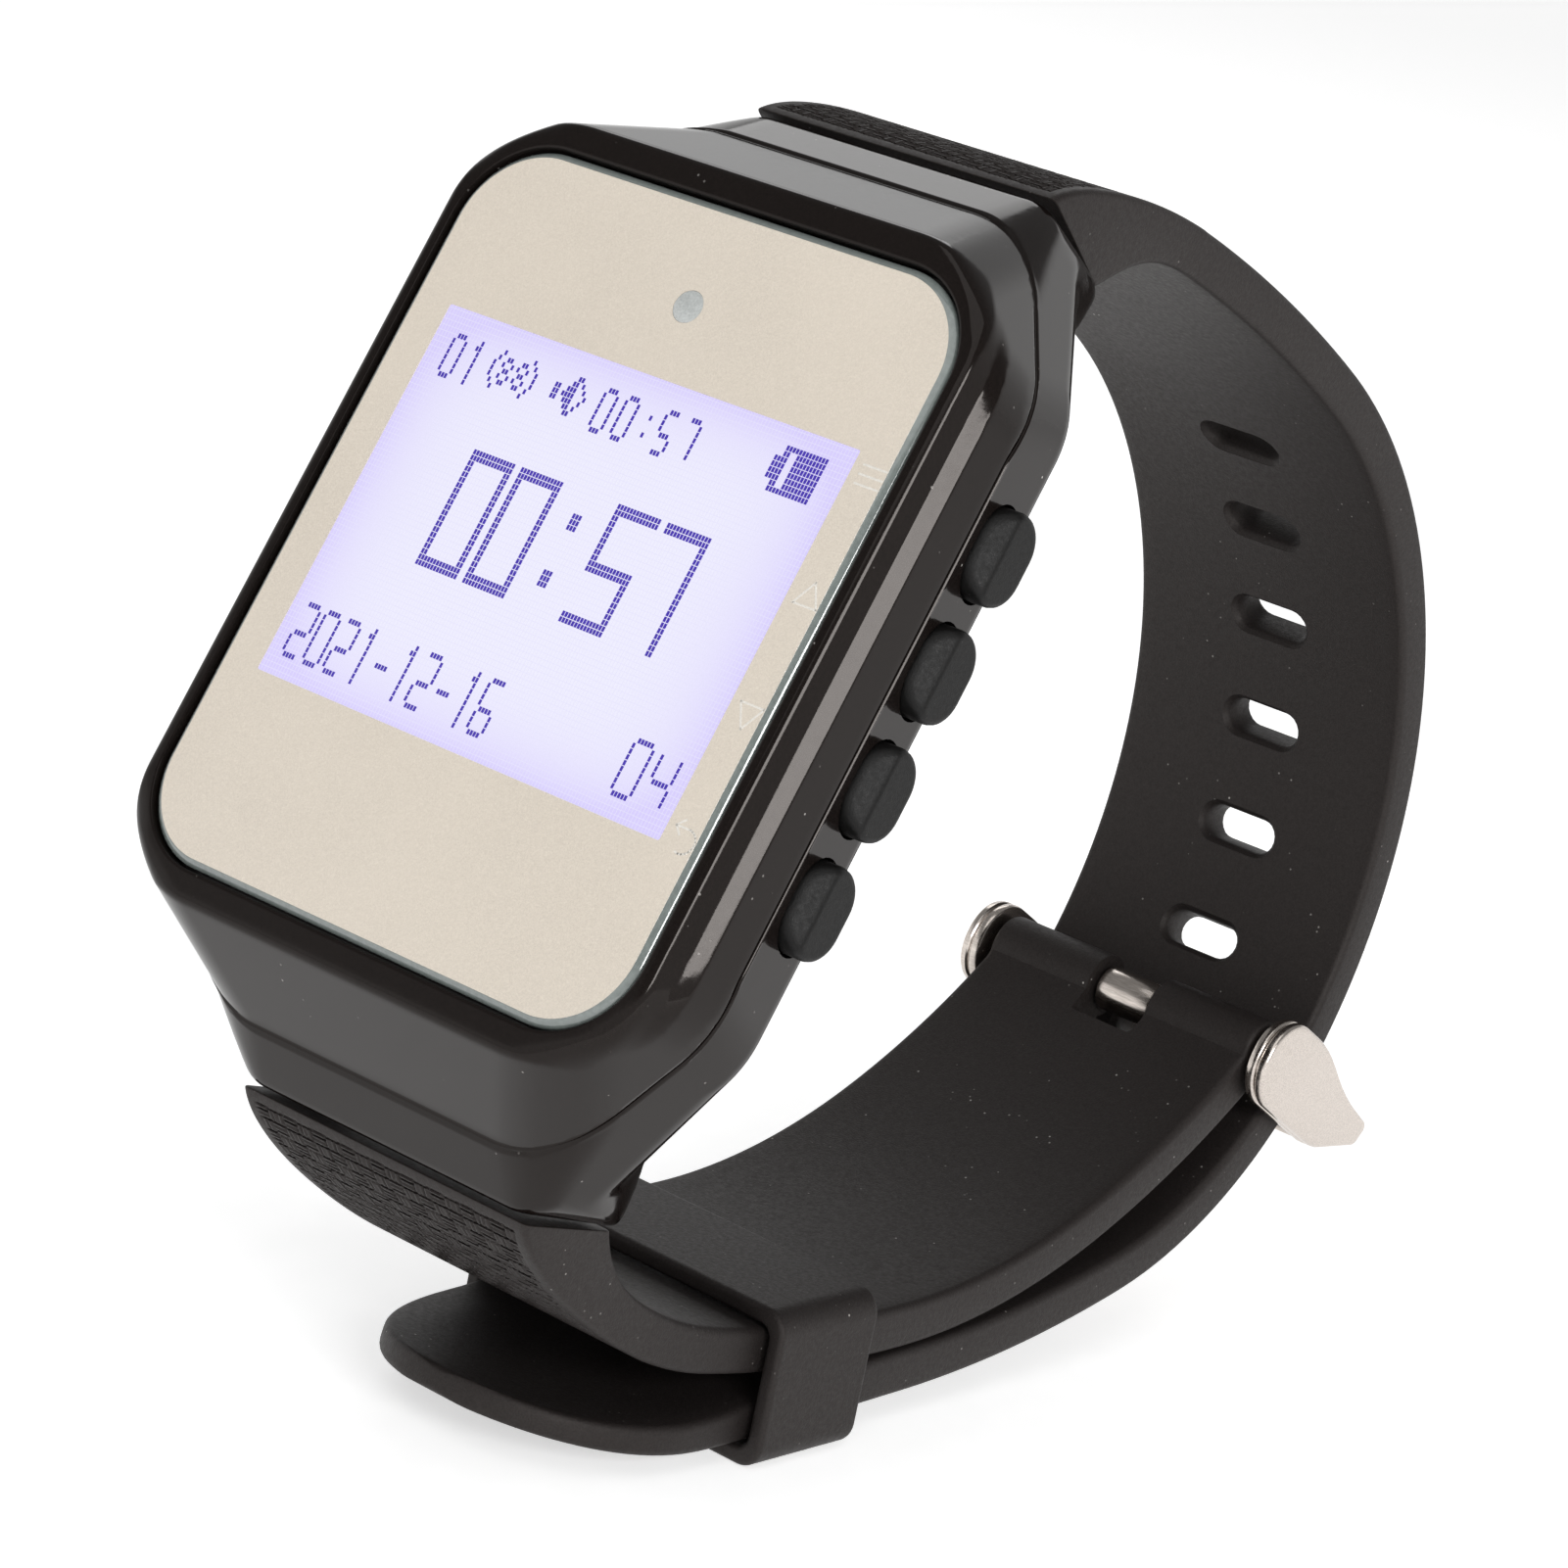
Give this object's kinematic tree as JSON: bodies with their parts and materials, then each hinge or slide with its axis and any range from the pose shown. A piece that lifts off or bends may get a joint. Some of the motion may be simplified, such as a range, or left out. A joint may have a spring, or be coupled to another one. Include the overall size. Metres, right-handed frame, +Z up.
{
  "type": "wrist pager",
  "caption": "Watch-style call pager with a dot-matrix display, side keys and a buckled rubber strap, standing on its strap keeper.",
  "frame": {"origin": "on the surface it stands on, under the middle of its box; the keeper's outer face lies at Z = 0", "axes": "+X across the wrist band towards the side keys, +Y along the keeper and away from the display, +Z up"},
  "size_m": [0.0378, 0.0798, 0.0686],
  "materials": {
    "front_bezel": "polished black moulding",
    "rear_shell": "polished black moulding",
    "cover_glass": "clear, polished edge",
    "mirror_film": "beige print behind the glass",
    "gasket": "matte",
    "lcd": "display glass, lavender backlight",
    "light_guide": "diffuser",
    "white_plastic": "moulded",
    "flex": "polyimide film",
    "clear_plastic": "light pipe",
    "circuit_board": "solder mask",
    "chip": "moulded",
    "tinplate": "satin",
    "battery": "foil pouch",
    "adhesive": "paper",
    "steel": "satin",
    "gold": "plated",
    "button_rubber": "matte moulded",
    "strap_rubber": "matte moulded silicone",
    "buckle_metal": "polished nickel plate"
  },
  "bodies": {
    "watch": {"front_bezel": "front_bezel", "rear_shell": "rear_shell", "cover_glass": "cover_glass", "mirror_film": "mirror_film", "glass_gasket": "gasket", "lcd_panel": "lcd", "lcd_backlight": "light_guide", "lcd_holder": "white_plastic", "lcd_flex": "flex", "lamp_light_pipe": "clear_plastic", "main_board": "circuit_board", "board_chips": "chip", "shield_can": "tinplate", "battery": "battery", "battery_tape": "adhesive", "vibration_motor": "steel", "speaker": "steel", "antenna_strip": "gold", "side_switches": "tinplate", "case_screws": "steel", "board_screws": "steel", "charge_contacts": "gold", "strap_long": "strap_rubber", "strap_short": "strap_rubber", "lug_bars": "steel", "buckle_bar": "steel"},
    "button_menu": {"button_menu": "button_rubber"},
    "button_up": {"button_up": "button_rubber"},
    "button_down": {"button_down": "button_rubber"},
    "button_back": {"button_back": "button_rubber"},
    "motor_weight": {"motor_weight": "steel"},
    "buckle_frame": {"buckle_frame": "buckle_metal"},
    "buckle_tongue": {"buckle_tongue": "buckle_metal"},
    "keeper_loop": {"keeper_loop": "strap_rubber"}
  },
  "joints": [
    {"name": "menu_press", "type": "slide", "parent": "watch", "child": "button_menu", "axis": [-1, 0, 0], "range_m": [0, 0.00036], "stiffness_N_per_m": 600},
    {"name": "up_press", "type": "slide", "parent": "watch", "child": "button_up", "axis": [-1, 0, 0], "range_m": [0, 0.00036], "stiffness_N_per_m": 600},
    {"name": "down_press", "type": "slide", "parent": "watch", "child": "button_down", "axis": [-1, 0, 0], "range_m": [0, 0.00036], "stiffness_N_per_m": 600},
    {"name": "back_press", "type": "slide", "parent": "watch", "child": "button_back", "axis": [-1, 0, 0], "range_m": [0, 0.00036], "stiffness_N_per_m": 600},
    {"name": "motor_spin", "type": "hinge", "parent": "watch", "child": "motor_weight", "pos_m": [0.0026, -0.03073, 0.0271], "axis": [1, 0, 0], "continuous": true},
    {"name": "buckle_swing", "type": "hinge", "parent": "watch", "child": "buckle_frame", "pos_m": [-0.0004, 0.02954, 0.01778], "axis": [1, 0, 0], "range_deg": [-6, 1]},
    {"name": "tongue_swing", "type": "hinge", "parent": "watch", "child": "buckle_tongue", "pos_m": [-0.0004, 0.02954, 0.01778], "axis": [1, 0, 0], "range_deg": [-1, 1.5]},
    {"name": "keeper_slide", "type": "slide", "parent": "watch", "child": "keeper_loop", "axis": [0, 1, 0], "range_m": [-0.0008, 0.011]}
  ]
}
